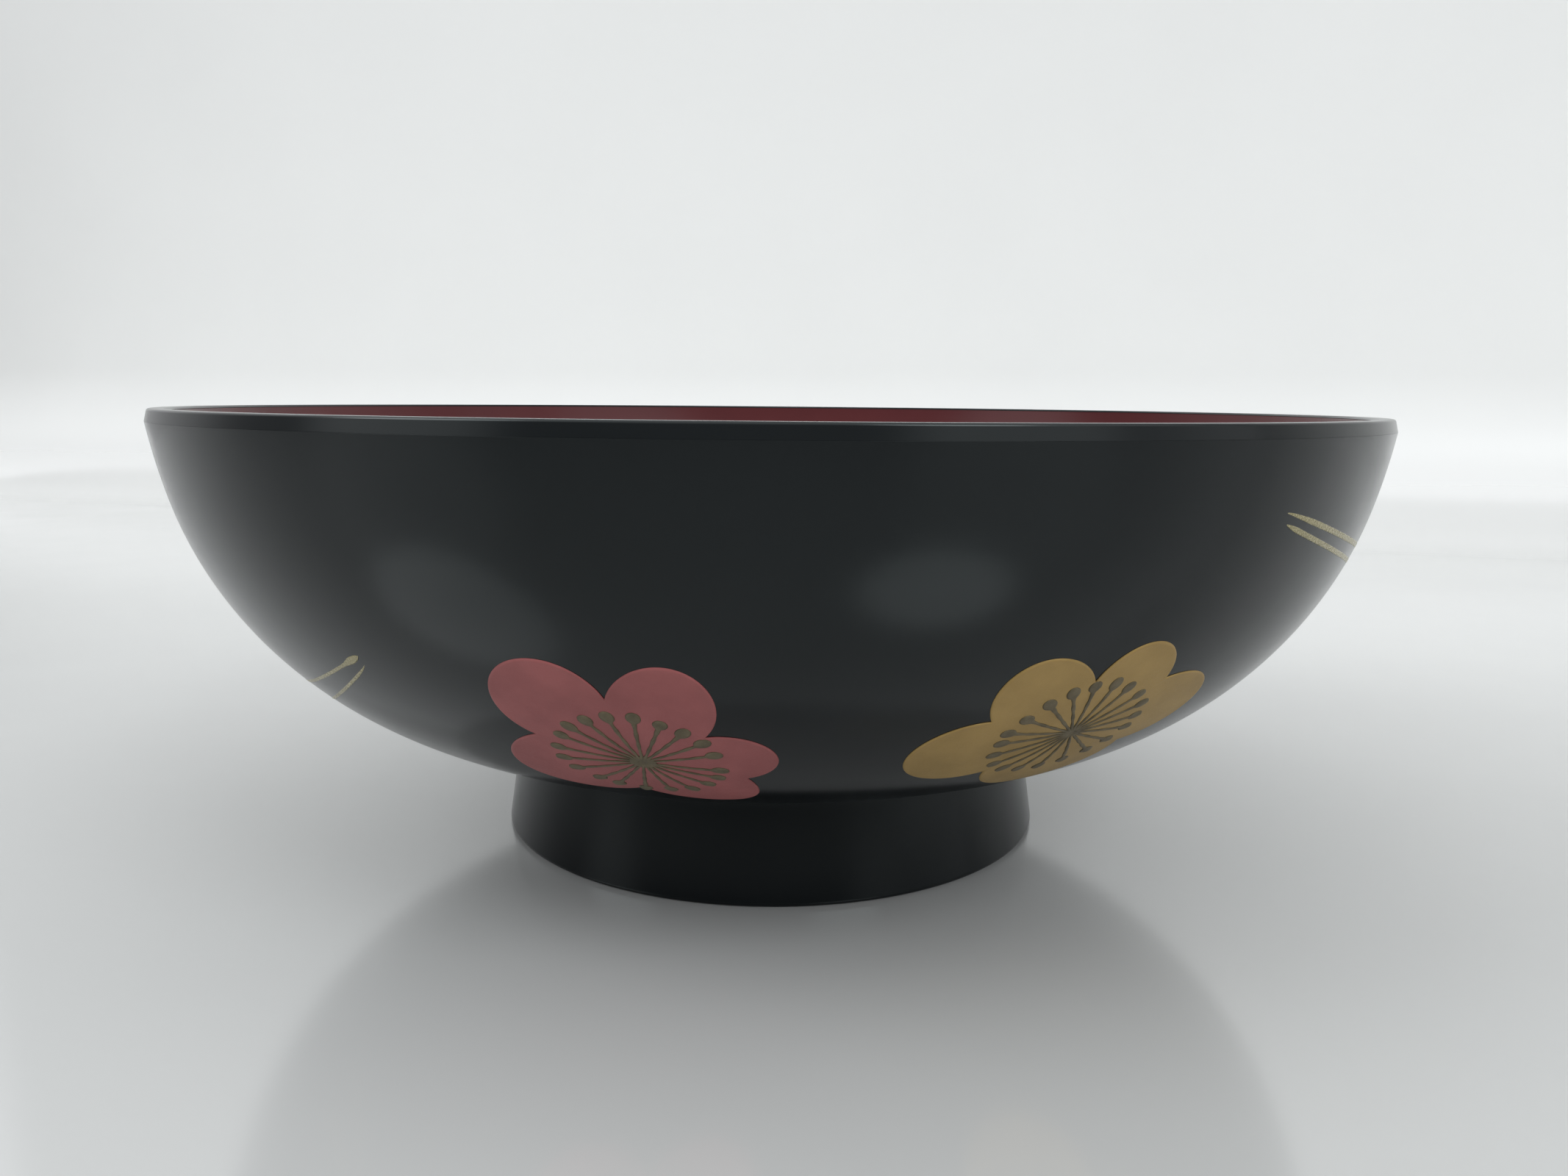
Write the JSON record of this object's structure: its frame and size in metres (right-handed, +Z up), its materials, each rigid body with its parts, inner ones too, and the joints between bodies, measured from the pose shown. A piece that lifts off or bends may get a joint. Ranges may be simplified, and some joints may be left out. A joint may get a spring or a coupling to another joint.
{
  "type": "lacquered serving bowl",
  "caption": "Wide black lacquered serving bowl with a red inside, a bevelled lip, a foot ring, and raised red and gold plum blossoms with pine needles.",
  "frame": {"origin": "centre of the foot ring's resting face", "axes": "+Z up along the bowl's axis of revolution, -Y towards the side that carries both plum blossoms"},
  "size_m": [0.24, 0.24, 0.0878],
  "materials": {
    "turned_wood": "plain turned wood, hidden under the lacquer",
    "black_lacquer": "polished black lacquer",
    "red_lacquer": "satin dark red lacquer",
    "red_petal_paint": "matt pinkish red raised paint",
    "gold_petal_paint": "matt gold powder on lacquer",
    "bronze_line_paint": "dull bronze line work",
    "pale_gold_paint": "pale gold line work"
  },
  "bodies": {
    "root": {"bowl_core": "turned_wood", "foot_ring": "black_lacquer", "outer_black_coat": "black_lacquer", "inner_red_coat": "red_lacquer", "black_lip": "black_lacquer", "red_blossom_petals": "red_petal_paint", "red_blossom_stamens": "bronze_line_paint", "gold_blossom_petals": "gold_petal_paint", "gold_blossom_stamens": "bronze_line_paint", "left_pine_needles": "pale_gold_paint", "right_pine_needles": "pale_gold_paint"}
  },
  "joints": []
}
